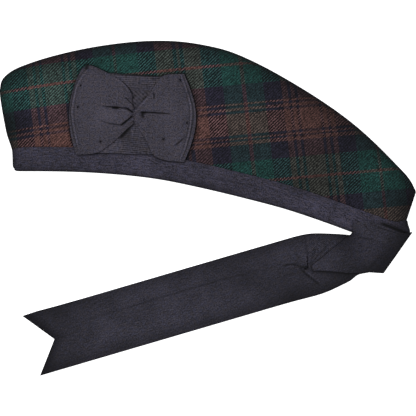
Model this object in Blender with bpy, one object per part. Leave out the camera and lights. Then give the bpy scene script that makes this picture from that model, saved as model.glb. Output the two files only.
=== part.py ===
"""Tartan glengarry, pressed flat and lying on its right side.

The front of the cap points to -X, the crown to +Y and the left side, with its cockade, up to +Z.
The two side panels meet at the front and back seams, the crown strip is folded inwards between
the two crown ridges, a ribbon binds the whole brim, and two ribbon tails leave the back.
Metres, +Z up, with the origin under the middle of the part.
"""

import math
from collections import namedtuple

import bmesh
import bpy
from mathutils import Vector
from mathutils.bvhtree import BVHTree

# Cap in plan
BRIM_LENGTH = 0.2771
BRIM_DROP = 0.0558
CROWN_RISE = 0.1027
FRONT_LEAN = 0.0100
BACK_LEAN = 0.0132
FRONT_BOW = 0.0018

# Cap in height, as it lies
MOUTH_HEIGHT = 0.027
CROWN_HEIGHT = 0.017
SEAM_HEIGHT = 0.008
SEAM_ROLL = 0.012
RIDGE_ROLL = 0.0055
RIDGE_LIP = 0.0030
LIP_START = 0.0035
LIP_RUN = 0.0110
PUFF = 0.0020

# Cloth and ribbon
CLOTH = 0.0020
GUSSET_CLOTH = 0.0016
RIBBON = 0.0010
GAP = 0.0003
CLEAR = 0.0008

# Crown strip
FOLD_DEPTH = 0.030
LIP_BEND = 0.0030

# Binding of the brim
BAND_WIDTH = 0.0167
BAND_INSIDE = 0.0085
BAND_RAMP = 0.0080
BACK_BULGE = 0.0048

# Cockade
COCKADE_FRONT = 0.0882
COCKADE_UP = 0.0445
WING_LENGTH = 0.0471
WING_HALF = 0.0363
WING_BOW = 0.0087
WING_PLEAT = 0.0032
PINCH_GAP = 0.0007
BACK_HALF_LENGTH = 0.0319
BACK_TOP = 0.0273
BACK_TOP_TILT = 0.0022
BACK_BOTTOM = 0.0297
BACK_BOTTOM_TILT = 0.0010

# Ribbon tails
RIBBON_WIDTH = 0.0449
TAIL_LENGTH = 0.2080
TAIL_ANGLE = math.radians(16.35)
TAIL_STEP = 0.0015
NOTCH_DEPTH = 0.0175
ROOT_REACH = 0.0663
ROOT_DROP = 0.0033
ROOT_PLEAT = 0.0016
FOLD_SLOPE = 0.80

# Counts of facets
ROLL_STEPS = 4
GUSSET_START = 3
BODY_STEPS = 18
RISE_STEPS = 6
WING_STEPS = 9
WING_ROWS = 12
BACK_STEPS = 8
TAIL_STEPS = 9
TAIL_ROWS = 6
FOLD_STEPS = 3
FOLD_ROWS = 9
SETTLE_STEPS = 8
LAY_ROUNDS = 2
FOLD_ROUNDS = 6

# Side panel in plan: shares of the brim's length, of its drop and of the crown's rise
Outline = namedtuple("Outline", "along drop rise")
OUTLINE = (
    Outline(0.000, 0.000, 0.589),
    Outline(0.003, 0.000, 0.629),
    Outline(0.013, 0.000, 0.665),
    Outline(0.043, 0.000, 0.721),
    Outline(0.080, 0.000, 0.762),
    Outline(0.180, 0.012, 0.846),
    Outline(0.300, 0.055, 0.925),
    Outline(0.380, 0.105, 0.966),
    Outline(0.460, 0.185, 0.996),
    Outline(0.540, 0.275, 1.000),
    Outline(0.620, 0.374, 0.958),
    Outline(0.700, 0.478, 0.886),
    Outline(0.780, 0.608, 0.810),
    Outline(0.860, 0.751, 0.715),
    Outline(0.920, 0.861, 0.610),
    Outline(0.957, 0.926, 0.529),
    Outline(0.987, 0.978, 0.457),
    Outline(1.000, 1.000, 0.384),
)

# Front edge between brim and crown: share of its height, and share of the bow
Bow = namedtuple("Bow", "up out")
BOW = (
    Bow(0.00, 0.00),
    Bow(0.22, -0.60),
    Bow(0.40, 0.35),
    Bow(0.67, 1.00),
    Bow(0.88, 1.00),
    Bow(1.00, 0.00),
)

# Heights along the cap: shares of the mouth's and crown's height and of the crown fold's depth
Body = namedtuple("Body", "along mouth crown fold")
BODY = (
    Body(0.00, 0.50, 0.86, 0.10),
    Body(0.15, 0.74, 0.95, 0.45),
    Body(0.30, 0.93, 1.00, 0.85),
    Body(0.50, 1.00, 1.00, 1.00),
    Body(0.70, 0.88, 1.00, 0.85),
    Body(0.85, 0.66, 0.95, 0.45),
    Body(1.00, 0.48, 0.86, 0.10),
)

# Cockade wings from the outer arc to the pinch: shares of the wing's length and half height
Wing = namedtuple("Wing", "inward top_out top bottom_out bottom")
WING_LEFT = (
    Wing(0.00, 0.754, 0.99, 0.877, -0.83),
    Wing(0.25, 0.538, 0.88, 0.615, -0.82),
    Wing(0.50, 0.308, 0.72, 0.370, -0.64),
    Wing(0.70, 0.140, 0.58, 0.215, -0.47),
    Wing(0.85, 0.038, 0.39, 0.100, -0.31),
    Wing(1.00, 0.000, 0.15, 0.000, -0.22),
)
WING_RIGHT = (
    Wing(0.00, 0.754, 0.77, 0.754, -0.98),
    Wing(0.25, 0.480, 0.76, 0.480, -0.95),
    Wing(0.45, 0.345, 0.63, 0.280, -0.85),
    Wing(0.65, 0.245, 0.39, 0.185, -0.55),
    Wing(0.85, 0.108, 0.21, 0.080, -0.35),
    Wing(1.00, 0.000, 0.09, 0.000, -0.21),
)

# Ribbon edges beyond the pinch: shares of the root's reach and of the ribbon's width
Root = namedtuple("Root", "reach top bottom")
TAIL_ROOT = (
    Root(0.68, 0.210, -0.338),
    Root(0.55, 0.325, -0.338),
    Root(0.39, 0.402, -0.385),
    Root(0.22, 0.480, -0.415),
    Root(0.06, 0.552, -0.440),
)
TAIL_TOP = 0.56
TAIL_FOLD = (
    Root(0.04, 0.030, -0.050),
    Root(0.22, 0.132, -0.142),
    Root(0.39, 0.245, -0.245),
    Root(0.555, 0.348, -0.318),
    Root(0.61, 0.510, -0.328),
    Root(0.77, 0.475, -0.416),
    Root(0.93, 0.294, -0.225),
    Root(1.08, 0.122, -0.044),
    Root(1.19, 0.098, 0.083),
)

# Colour, roughness and metallic value of each finish
Finish = namedtuple("Finish", "colour roughness metallic")
TARTAN = Finish((0.045, 0.060, 0.045, 1.0), 0.92, 0.0)
GROSGRAIN = Finish((0.036, 0.034, 0.050, 1.0), 0.72, 0.0)
SATIN_TAIL = Finish((0.018, 0.017, 0.027, 1.0), 0.62, 0.0)

Column = namedtuple("Column", "along swell")
Row = namedtuple("Row", "up swell")


def read(table, column, share):
    """A column's value at a share of the table's first column, on a smooth curve."""
    knots = [(row[0], getattr(row, column)) for row in table]
    share = min(max(share, knots[0][0]), knots[-1][0])
    k = next(i for i in range(len(knots) - 1) if share <= knots[i + 1][0])
    steps = [(b[1] - a[1]) / (b[0] - a[0]) for a, b in zip(knots, knots[1:])]

    def slope(i):
        if i == 0 or i == len(steps):
            return steps[min(i, len(steps) - 1)]
        before, after = steps[i - 1], steps[i]
        return 2.0 * before * after / (before + after) if before * after > 0.0 else 0.0

    width = knots[k + 1][0] - knots[k][0]
    t = (share - knots[k][0]) / width
    start, end = knots[k][1], knots[k + 1][1]
    return (
        start * (1 + 2 * t) * (1 - t) ** 2
        + end * (3 - 2 * t) * t**2
        + width * (slope(k) * t * (1 - t) ** 2 - slope(k + 1) * (1 - t) * t**2)
    )


def ease(share):
    """Smooth step from 0 to 1."""
    share = min(max(share, 0.0), 1.0)
    return share * share * (3.0 - 2.0 * share)


def quarter_roll(radius):
    """Distance from the edge and height share at each step of a quarter roll."""
    angles = [math.pi / 2 * k / ROLL_STEPS for k in range(ROLL_STEPS + 1)]
    return [(radius * (1.0 - math.cos(a)), math.sin(a)) for a in angles]


def columns():
    """Stations along the brim, with a roll at each seam and even steps between."""
    roll = [(distance / BRIM_LENGTH, swell) for distance, swell in quarter_roll(SEAM_ROLL)]
    start = roll[-1][0]
    body = [start + (1.0 - 2.0 * start) * k / BODY_STEPS for k in range(1, BODY_STEPS)]
    front = [Column(along, swell) for along, swell in roll]
    back = [Column(1.0 - c.along, c.swell) for c in reversed(front)]
    return front + [Column(along, 1.0) for along in body] + back


def brim_at(along):
    """Point on the brim in plan."""
    return Vector((along * BRIM_LENGTH, -read(OUTLINE, "drop", along) * BRIM_DROP, 0.0))


def ridge_at(along):
    """Point on the crown ridge in plan, above the same station of the brim."""
    lean = BACK_LEAN * along**3 - FRONT_LEAN * (1.0 - along) ** 3
    return brim_at(along) + Vector((lean, read(OUTLINE, "rise", along) * CROWN_RISE, 0.0))


def rows(along):
    """Stations up a panel: the band's width, the ramp behind it, the body and the ridge roll."""
    length = (ridge_at(along) - brim_at(along)).length
    roll = [(length - distance, swell) for distance, swell in quarter_roll(RIDGE_ROLL)]
    low = BAND_WIDTH + BAND_RAMP
    high = roll[-1][0]
    ups = [0.0, BAND_INSIDE, BAND_WIDTH]
    ups += [low + (high - low) * k / RISE_STEPS for k in range(RISE_STEPS)]
    return [Row(up / length, 1.0) for up in ups] + [Row(up / length, s) for up, s in reversed(roll)]


def plan_at(along, up):
    """Point of a panel in plan, with the front edge bowed."""
    point = brim_at(along).lerp(ridge_at(along), up)
    point.x -= FRONT_BOW * read(BOW, "out", up) * (1.0 - along) ** 8
    return point


def lip_share(along):
    """How far the two ridges are parted by the crown strip: 0 at the seams, 1 along the body."""
    inside = min(along, 1.0 - along) * BRIM_LENGTH - LIP_START
    return min(max(inside / LIP_RUN, 0.0), 1.0)


def lip_at(along):
    """Half the distance between the two ridges."""
    return GAP / 2.0 + (RIDGE_LIP - GAP / 2.0) * lip_share(along)


def body_height(along, up, upper):
    """Height of a panel's outer face away from its rolled edges."""
    if not upper:
        length = (ridge_at(along) - brim_at(along)).length
        return (GAP + RIBBON) * (1.0 - ease((up * length - BAND_WIDTH) / BAND_RAMP))
    mouth = MOUTH_HEIGHT * read(BODY, "mouth", along)
    crown = CROWN_HEIGHT * read(BODY, "crown", along)
    return mouth + (crown - mouth) * ease(up) + PUFF * math.sin(math.pi * up)


def side_point(column, row, upper):
    """Point on the outer face of the upper or the lower side panel."""
    sign = 1.0 if upper else -1.0
    parted = (lip_at(column.along) - GAP / 2.0) * (1.0 - row.swell)
    rim = SEAM_HEIGHT + sign * (GAP / 2.0 + parted)
    height = body_height(column.along, row.up, upper)
    point = plan_at(column.along, row.up)
    point.z = rim + (height - rim) * column.swell * row.swell
    return point


def side_grid(upper):
    """Outer face of a side panel, as columns of points from brim to ridge."""
    return [[side_point(column, row, upper) for row in rows(column.along)] for column in columns()]


def level(vector):
    """The vector's direction in plan."""
    return Vector((vector.x, vector.y, 0.0)).normalized()


def rim_out(grid, i, j):
    """Direction out of a panel at its front, back or ridge rim, or None inside it."""
    last_i, last_j = len(grid) - 1, len(grid[0]) - 1
    out = Vector()
    if i in (0, last_i):
        run = grid[i][min(j + 1, last_j)] - grid[i][max(j - 1, 0)]
        out += level(Vector((-run.y, run.x, 0.0)) * (1.0 if i == 0 else -1.0))
    if j == last_j:
        run = grid[min(i + 1, last_i)][j] - grid[max(i - 1, 0)][j]
        out += level(Vector((-run.y, run.x, 0.0)))
    return out.normalized() if out.length else None


def outward(grid, upper):
    """Unit directions out of a panel's outer face, level along its seams."""
    last_i, last_j = len(grid) - 1, len(grid[0]) - 1
    sign = 1.0 if upper else -1.0
    result = []
    for i in range(last_i + 1):
        line = []
        for j in range(last_j + 1):
            run = grid[min(i + 1, last_i)][j] - grid[max(i - 1, 0)][j]
            rise = grid[i][min(j + 1, last_j)] - grid[i][max(j - 1, 0)]
            line.append(rim_out(grid, i, j) or run.cross(rise).normalized() * sign)
        result.append(line)
    return result


def new_object(name, bm, finish):
    """A mesh object with its own material."""
    bmesh.ops.recalc_face_normals(bm, faces=bm.faces)
    if bm.calc_volume(signed=True) < 0.0:
        bmesh.ops.reverse_faces(bm, faces=bm.faces)
    mesh = bpy.data.meshes.new(name)
    bm.to_mesh(mesh)
    bm.free()
    mesh.shade_smooth()
    mesh.set_sharp_from_angle(angle=math.radians(40.0))
    material = bpy.data.materials.new(name)
    material.use_nodes = True
    shader = material.node_tree.nodes["Principled BSDF"]
    shader.inputs["Base Color"].default_value = finish.colour
    shader.inputs["Roughness"].default_value = finish.roughness
    shader.inputs["Metallic"].default_value = finish.metallic
    mesh.materials.append(material)
    obj = bpy.data.objects.new(name, mesh)
    bpy.context.scene.collection.objects.link(obj)
    return obj


def shell(name, outer, inner, finish, loop=False):
    """Closed wall between two matching grids of points; loop joins its last column to its first."""
    bm = bmesh.new()
    skins = [[[bm.verts.new(p) for p in column] for column in grid] for grid in (outer, inner)]
    count, depth = len(outer), len(outer[0])
    for i in range(count if loop else count - 1):
        n = (i + 1) % count
        for j in range(depth - 1):
            for skin in skins:
                bm.faces.new((skin[i][j], skin[n][j], skin[n][j + 1], skin[i][j + 1]))
        for j in (0, depth - 1):
            bm.faces.new((skins[0][i][j], skins[0][n][j], skins[1][n][j], skins[1][i][j]))
    if not loop:
        for i in (0, count - 1):
            for j in range(depth - 1):
                bm.faces.new((skins[0][i][j], skins[0][i][j + 1], skins[1][i][j + 1], skins[1][i][j]))
    return new_object(name, bm, finish)


def side_panel(name, upper):
    """Side panel: one wall of cloth, rolled in at the ridge and at the seams."""
    grid = side_grid(upper)
    out = outward(grid, upper)
    inner = [[p - n * CLOTH for p, n in zip(line, ways)] for line, ways in zip(grid, out)]
    return shell(name, grid, inner, TARTAN)


def shallow_section(depth, lip):
    """Half section of the crown strip where it is only dented: depth and height of each face."""
    turns = [math.pi / 2.0 * k / 7.0 for k in range(8)]
    outer = [(depth * math.sin(turn), lip * (1.0 - turn * 2.0 / math.pi)) for turn in turns]
    return outer, [(d + GUSSET_CLOTH, z) for d, z in outer]


def folded_section(depth, lip):
    """Half section of the crown strip where it is folded: depth and height of each face."""
    leaf = lip - LIP_BEND / 6.0
    valley = leaf - GUSSET_CLOTH
    outer = [(0.0, lip), (LIP_BEND / 5.0, (lip + valley) / 2.0), (LIP_BEND / 2.0, valley)]
    inner = [(GUSSET_CLOTH, lip), (GUSSET_CLOTH + LIP_BEND / 6.0, leaf), (LIP_BEND, leaf)]
    floor = depth - leaf
    outer += [(LIP_BEND + (floor - LIP_BEND) * k / 3.0, valley) for k in range(1, 4)]
    inner += [(LIP_BEND + (floor - LIP_BEND) * k / 3.0, leaf) for k in range(1, 4)]
    for angle in (math.pi / 4, math.pi / 2):
        outer.append((floor + valley * math.sin(angle), valley * math.cos(angle)))
        inner.append((floor + leaf * math.sin(angle), leaf * math.cos(angle)))
    return outer, inner


def crown_gusset():
    """Crown strip, folded inwards between the two ridges and shallow at both ends."""
    stations = columns()
    ridge = side_grid(True)
    outer, inner = [], []
    for i in range(GUSSET_START, len(stations) - GUSSET_START):
        top = ridge[i][-1].copy()
        top.z = SEAM_HEIGHT
        inwards = -rim_out(ridge, i, len(ridge[i]) - 1)
        along = stations[i].along
        depth = FOLD_DEPTH * read(BODY, "fold", along)
        lip = lip_at(along) - GAP
        if lip_share(along) < 1.0:
            faces = shallow_section(depth * lip_share(along), lip)
        else:
            faces = folded_section(depth + LIP_BEND, lip)
        for grid, half in zip((outer, inner), faces):
            full = half + [(d, -z) for d, z in reversed(half[:-1])]
            grid.append([top + inwards * d + Vector((0.0, 0.0, z)) for d, z in full])
    return shell("crown_gusset", outer, inner, TARTAN)


def band_section(grid, out, i, bulge):
    """Outer and pocket points of the binding at one station of a panel."""
    clear, proud = GAP, GAP + RIBBON
    points, ways = grid[i][:3], out[i][:3]
    down = (points[0] - points[1]).normalized()
    middle = points[0] - ways[0] * CLOTH / 2.0
    inside = [p - n * CLOTH for p, n in zip(points, ways)]
    push = [Vector(), level(ways[1]) * bulge, Vector()]
    skins = []
    for off, under in ((proud, GAP + RIBBON * 0.5), (clear, GAP)):
        deep = off if off == proud else GAP
        skins.append(
            [points[k] + push[k] + ways[k] * off for k in (2, 1, 0)]
            + [points[0] + ways[0] * off + down * under]
            + [middle + down * deep]
            + [inside[0] - ways[0] * off + down * under]
            + [inside[k] - ways[k] * off for k in (0, 1)]
        )
    return skins


def brim_band():
    """Ribbon binding folded round the brim of both panels, in one closed loop."""
    stations = columns()
    last = len(stations) - 1
    outer, pocket = [], []
    for upper in (True, False):
        grid = side_grid(upper)
        out = outward(grid, upper)
        for line in (grid[0], grid[last]):
            for point in line:
                point.z = SEAM_HEIGHT
        order = range(0, last + 1) if upper else range(last - 1, 0, -1)
        for i in order:
            skins = band_section(grid, out, i, BACK_BULGE * ease(1.0 - (last - i) / ROLL_STEPS))
            outer.append(skins[0])
            pocket.append(skins[1])
    return shell("brim_band", outer, pocket, GROSGRAIN, loop=True)


def tree_of(obj):
    """Search tree of an object's mesh, for finding what lies under a point."""
    mesh = obj.data
    return BVHTree.FromPolygons([v.co for v in mesh.vertices], [p.vertices for p in mesh.polygons])


def top_of(tree, x, y):
    """Height of a piece's top face at a place in plan, or None beside it."""
    hit = tree.ray_cast(Vector((x, y, 1.0)), Vector((0.0, 0.0, -1.0)))[0]
    return hit.z if hit else None


def ground(x, y, trees):
    """Height of the highest of some pieces close to a place in plan, or of what they lie on."""
    near = ((0.0, 0.0), (CLEAR, 0.0), (-CLEAR, 0.0), (0.0, CLEAR), (0.0, -CLEAR))
    tops = [top_of(tree, x + right, y + up) for tree in trees for right, up in near]
    return max([0.0] + [top for top in tops if top is not None])


def lowest(near, right, up, far, s, t):
    """Height inside a cell of four heights, whichever diagonal divides it into triangles."""
    if s + t <= 1.0:
        falling = near + s * (right - near) + t * (up - near)
    else:
        falling = far + (1.0 - s) * (up - far) + (1.0 - t) * (right - far)
    if s >= t:
        rising = near + s * (right - near) + t * (far - right)
    else:
        rising = near + t * (up - near) + s * (far - up)
    return min(falling, rising)


def settle(grid, trees):
    """Lift the cells of a laid grid just clear of what lies under them."""
    shares = [k / SETTLE_STEPS for k in range(SETTLE_STEPS + 1)]
    for left, right in zip(grid, grid[1:]):
        for j in range(len(left) - 1):
            corners = (left[j], right[j], left[j + 1], right[j + 1])
            lack = 0.0
            for s, t in [(s, t) for s in shares for t in shares]:
                low, high = corners[0].lerp(corners[1], s), corners[2].lerp(corners[3], s)
                place = low.lerp(high, t)
                height = lowest(*[corner.z for corner in corners], s, t)
                lack = max(lack, ground(place.x, place.y, trees) + GAP - height)
            for corner in corners:
                corner.z += lack


def relax(grid, trees, rounds):
    """Even out a laid grid's heights, as stiff ribbon does, and settle it again."""
    last_i, last_j = len(grid) - 1, len(grid[0]) - 1
    for _ in range(rounds):
        heights = [[p.z for p in line] for line in grid]
        for i, line in enumerate(grid):
            for j, point in enumerate(line):
                beside = heights[max(i - 1, 0)][j] + heights[min(i + 1, last_i)][j]
                beside += heights[i][max(j - 1, 0)] + heights[i][min(j + 1, last_j)]
                point.z = max(point.z, (heights[i][j] + beside / 4.0) / 2.0)
    settle(grid, trees)


def lay(grid, pieces):
    """Lay a grid of places in plan on the pieces under it."""
    trees = [tree_of(piece) for piece in pieces]
    for point in [p for line in grid for p in line]:
        point.z = ground(point.x, point.y, trees) + GAP
    settle(grid, trees)
    relax(grid, trees, LAY_ROUNDS)


def sheet(name, grid, finish):
    """Ribbon of one thickness whose underside is the grid."""
    up = Vector((0.0, 0.0, RIBBON))
    return shell(name, [[p + up for p in line] for line in grid], grid, finish)


def cockade_centre():
    """Place of the cockade's pinch in plan."""
    along = COCKADE_FRONT / BRIM_LENGTH
    brim, ridge = brim_at(along), ridge_at(along)
    return brim + (ridge - brim).normalized() * COCKADE_UP


def cockade_back(carriers):
    """Ribbon base of the cockade, laid on the left panel and the edge of the band."""
    centre = cockade_centre()
    grid = []
    for i in range(BACK_STEPS + 1):
        x = 2.0 * i / BACK_STEPS - 1.0
        top = Vector((x * BACK_HALF_LENGTH, BACK_TOP - BACK_TOP_TILT * x, 0.0))
        bottom = Vector((x * BACK_HALF_LENGTH, -BACK_BOTTOM - BACK_BOTTOM_TILT * x, 0.0))
        grid.append([centre + bottom.lerp(top, j / BACK_STEPS) for j in range(BACK_STEPS + 1)])
    lay(grid, carriers)
    return sheet("cockade_back", grid, GROSGRAIN)


def cockade_wing(name, table, side, carriers):
    """Pleated half of the cockade, wide at its bowed outer edge and pinched at the middle."""
    centre = cockade_centre() + Vector((side * PINCH_GAP / 2.0, 0.0, 0.0))
    grid = []
    for i in range(WING_STEPS + 1):
        inward = i / WING_STEPS
        top = Vector((read(table, "top_out", inward) * WING_LENGTH * side,
                      read(table, "top", inward) * WING_HALF, 0.0))
        bottom = Vector((read(table, "bottom_out", inward) * WING_LENGTH * side,
                         read(table, "bottom", inward) * WING_HALF, 0.0))
        line = []
        for j in range(WING_ROWS + 1):
            across = j / WING_ROWS
            point = centre + top.lerp(bottom, across)
            point.x += side * WING_BOW * math.sin(math.pi * across) * (1.0 - inward) ** 2
            line.append(point)
        grid.append(line)
    lay(grid, carriers)
    for i, line in enumerate(grid):
        for j, point in enumerate(line):
            fold = math.sin(2.0 * math.pi * j / WING_ROWS) ** 2
            point.z += WING_PLEAT * fold * (i / WING_STEPS) ** 1.5
    return sheet(name, grid, GROSGRAIN)


def ribbon_frame():
    """The pinch of the tails in plan, the way along them and the way across them."""
    along = Vector((-math.cos(TAIL_ANGLE), -math.sin(TAIL_ANGLE), 0.0))
    across = Vector((-math.sin(TAIL_ANGLE), math.cos(TAIL_ANGLE), 0.0))
    return brim_at(1.0) + along * ROOT_REACH + across * ROOT_DROP, along, across


def tail(name, length, base, pleat):
    """Swallow-tailed ribbon from under the folded root to its two tips."""
    pinch, along, across = ribbon_frame()
    edges = [(-row.reach * ROOT_REACH, row.top, row.bottom) for row in TAIL_ROOT]
    edges += [(length * k / TAIL_STEPS, TAIL_TOP, TAIL_TOP - 1.0) for k in range(1, TAIL_STEPS + 1)]
    grid = []
    for distance, top, bottom in edges:
        line = []
        for j in range(TAIL_ROWS + 1):
            share = j / TAIL_ROWS
            cut = NOTCH_DEPTH * (1.0 - abs(2.0 * share - 1.0)) * ease(distance / length * 2.0 - 1.0)
            width = RIBBON_WIDTH * (top + (bottom - top) * share)
            point = pinch + along * (distance - cut) + across * width
            near = ease(1.0 - abs(distance) / RIBBON_WIDTH)
            point.z = base + pleat * near * math.sin(math.pi * 3.0 * share) ** 2
            line.append(point)
        grid.append(line)
    return sheet(name, grid, SATIN_TAIL)


def spread(table, steps):
    """The table's rows with even steps put between them."""
    result = [table[0]]
    for before, after in zip(table, table[1:]):
        for k in range(1, steps + 1):
            result.append(Root(*[a + (b - a) * k / steps for a, b in zip(before, after)]))
    return result


def tail_fold(carriers):
    """Folded ribbon root, draped from the back of the band down to the pinch of the tails."""
    pinch, along, across = ribbon_frame()
    trees = [tree_of(carrier) for carrier in carriers]
    grid = []
    for row in spread(TAIL_FOLD, FOLD_STEPS):
        line = []
        for j in range(FOLD_ROWS + 1):
            width = RIBBON_WIDTH * (row.top + (row.bottom - row.top) * j / FOLD_ROWS)
            line.append(pinch - along * row.reach * ROOT_REACH + across * width)
        grid.append(line)
    points = [p for line in grid for p in line]
    seats = [(p.to_2d(), ground(p.x, p.y, trees) + GAP) for p in points]
    for point in points:
        flat = point.to_2d()
        point.z = max(z - FOLD_SLOPE * (flat - place).length for place, z in seats)
    settle(grid, trees)
    relax(grid, trees, FOLD_ROUNDS)
    return sheet("tail_fold", grid, GROSGRAIN)


def build():
    """Every piece of the cap, moved so that the origin is under its middle."""
    left = side_panel("side_left", True)
    right = side_panel("side_right", False)
    band = brim_band()
    back = cockade_back([left, band])
    lower = tail("tail_lower", TAIL_LENGTH - TAIL_STEP, 0.0, 0.0)
    upper = tail("tail_upper", TAIL_LENGTH, RIBBON + GAP, ROOT_PLEAT)
    pieces = [
        left,
        right,
        crown_gusset(),
        band,
        back,
        cockade_wing("cockade_wing_left", WING_LEFT, -1.0, [left, band, back]),
        cockade_wing("cockade_wing_right", WING_RIGHT, 1.0, [left, band, back]),
        lower,
        upper,
        tail_fold([left, band, lower, upper]),
    ]
    corners = [v.co for piece in pieces for v in piece.data.vertices]
    low = Vector([min(c[k] for c in corners) for k in range(3)])
    high = Vector([max(c[k] for c in corners) for k in range(3)])
    root = bpy.data.objects.new("glengarry", None)
    root.location = (-(low.x + high.x) / 2.0, -(low.y + high.y) / 2.0, -low.z)
    bpy.context.scene.collection.objects.link(root)
    for piece in pieces:
        piece.parent = root


for old in list(bpy.data.objects):
    bpy.data.objects.remove(old)
build()
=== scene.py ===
"""Looks of a tartan glengarry pressed flat on its right side, with its two ribbon tails spread.

The chart is a grid of squares laid over the cap from above, counted to the right and down.
"""

import math
from collections import namedtuple

import bmesh
import bpy
import numpy as np
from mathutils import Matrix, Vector
from mathutils.bvhtree import BVHTree
from mathutils.kdtree import KDTree


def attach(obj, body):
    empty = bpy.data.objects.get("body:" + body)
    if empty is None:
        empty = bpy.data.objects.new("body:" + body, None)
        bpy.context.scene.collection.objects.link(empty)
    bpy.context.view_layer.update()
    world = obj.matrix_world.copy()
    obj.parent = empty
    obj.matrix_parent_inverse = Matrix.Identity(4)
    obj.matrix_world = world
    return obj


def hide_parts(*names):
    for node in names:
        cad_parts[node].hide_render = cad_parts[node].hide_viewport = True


# Chart
SQUARE = 0.000725
CHART_MIDDLE = (207.75, 208.2)
MM = 0.001

# Camera and light
CAMERA_HEIGHT = 4.0
CAMERA_FAR = 50.0
CHART_SQUARES = 416
SQUARES_SHOWN = 414.1
LOOK_AT_HEIGHT = 0.006
FLOOR_SIZE = 12.0
FLOOR_GAP = 0.0003
FLOOR_COLOUR = (0.90, 0.90, 0.90, 1.0)
WHITE = (1.0, 1.0, 1.0, 1.0)
SKY_COLOUR = (0.9, 0.92, 1.0, 1.0)
SKY_STRENGTH = 0.34

# Cloth meshes
DOWN = Vector((0.0, 0.0, -1.0))
MERGE = 0.00002
JOIN_ANGLE = math.radians(40.0)
JOIN_SHAPE = math.radians(60.0)
CREASE_ANGLE = math.radians(50.0)
RIM_TILT = 0.45
TOP_TILT = 0.3
BESIDE = 0.0016
NEAR_RIMS = 0.0022
NEAR_FOLDS = 0.0016
SIDE_SHADE = 0.3
SIDE_TILT = 0.3
SHADE_SHIFT = (0.00025, -0.00025)
CURVE_STEPS = 6
FOLD_FADE = 0.3
FOLD_TIP = 0.4
FOLD_EDGE = 0.0003
LEAF_EDGE = 0.0005
LEAF_SHADE = 0.0009
LEE = (0.7, -0.7)

# Tartan; of a pair that ends in rough or spread the first multiplies and the second is added
WEFT_PITCH = 0.000689
WARP_PITCH = 0.000728
TWILL_ACROSS = 0.00269
TWILL_DOWN = 0.00211
WEFT_SHARE = 0.57
GREEN = (0.0100, 0.0440, 0.0375)
NAVY = (0.0142, 0.0130, 0.0235)
BROWN = (0.0880, 0.0410, 0.0350)
ORANGE = (0.0820, 0.0400, 0.0350)
RUST = (0.0640, 0.0300, 0.0280)
WEFT_YARNS = {"green": GREEN, "navy": NAVY, "brown": BROWN, "line": ORANGE}
WARP_YARNS = {"green": GREEN, "navy": NAVY, "brown": BROWN, "line": RUST}
WEFT_SETT = (
    ("line", 2), ("green", 21), ("navy", 19), ("brown", 2), ("navy", 3), ("brown", 3), ("navy", 3),
    ("brown", 23), ("navy", 3), ("brown", 2), ("navy", 2), ("brown", 3), ("navy", 18), ("green", 21),
    ("line", 2), ("green", 21), ("navy", 18), ("brown", 17), ("navy", 4), ("brown", 3), ("navy", 4),
    ("brown", 17), ("navy", 18), ("green", 21),
)
WARP_SETT = (
    ("line", 1), ("green", 18), ("navy", 18), ("brown", 5), ("navy", 3), ("brown", 4), ("navy", 3),
    ("brown", 20), ("navy", 3), ("brown", 4), ("navy", 3), ("brown", 4), ("navy", 18), ("green", 20),
    ("line", 2), ("green", 22), ("navy", 18), ("brown", 17), ("navy", 4), ("brown", 3), ("navy", 4),
    ("brown", 16), ("navy", 19), ("green", 19), ("line", 2),
)
TWILL_CONTRAST = 0.33
TWILL_RED = 5.0
TWILL_GREEN = 27.0
GREEN_COVER = (-1.5, 0.02)
GREEN_COVER_MOST = 0.2
TWILL_BLEND = 0.06
TWILL_WANDER = 0.6
WANDER_SCALE = 700.0
YARN_SPREAD = 0.72
HAZE = 0.3
HAZE_SCALE = 90.0
TARTAN_DARKEST = 0.05
TARTAN_ROUGH = (-0.05, 0.92)
TARTAN_RELIEF = (0.6, 0.0003)
WARP_START = 239.5
WARP_SLANT = 0.12
SLANT_LEVEL = 55.0
WEFT_PLACE = (255.0, 61.5)
WEFT_SLANT = 0.092
WEFT_BOW = 8.0
BOW_START = -40.0
BOW_REACH = 70.0
ROLL_RADIUS = 0.007

# Ribbon
RIB_PITCH = 0.00090
FINE_SCALE = 1150.0
STREAK_SCALE = 230.0
STREAK_LENGTH = 4.0
MOTTLE_SCALE = 55.0
MOTTLE_SHARE = 0.4
TINT_SCALE = 450.0
TINT_SPREAD = (2.0, -0.5)
RIBBON_DARKEST = 0.1
RIBBON_ROUGH = (0.2, 0.82)
RIBBON_RELIEF = (0.5, 0.00015)
CLOTH_SPECULAR = 0.25
WARM_TINT = (1.12, 1.02, 0.86)
COOL_TINT = (0.90, 0.98, 1.16)
BAND_COLOUR = (0.0340, 0.0310, 0.0460)
COCKADE_COLOUR = (0.0470, 0.0425, 0.0560)
TAIL_COLOUR = (0.0310, 0.0290, 0.0405)

# Thread
THREAD_COLOUR = (0.0035, 0.0032, 0.0050)
THREAD_SCALE = 3000.0
THREAD_SPREAD = (0.8, 0.6)
THREAD_SPECULAR = 0.05
STITCH_LENGTH = 0.0026
STITCH_RADIUS = 0.00040
STITCH_SIDES = 8
STITCH_CUTS = (-0.25, 0.0, 0.25)
STITCH_DIPS = ((0.2, 0.5), (0.4, 1.2))
STITCH_LIFT = 0.4

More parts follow.
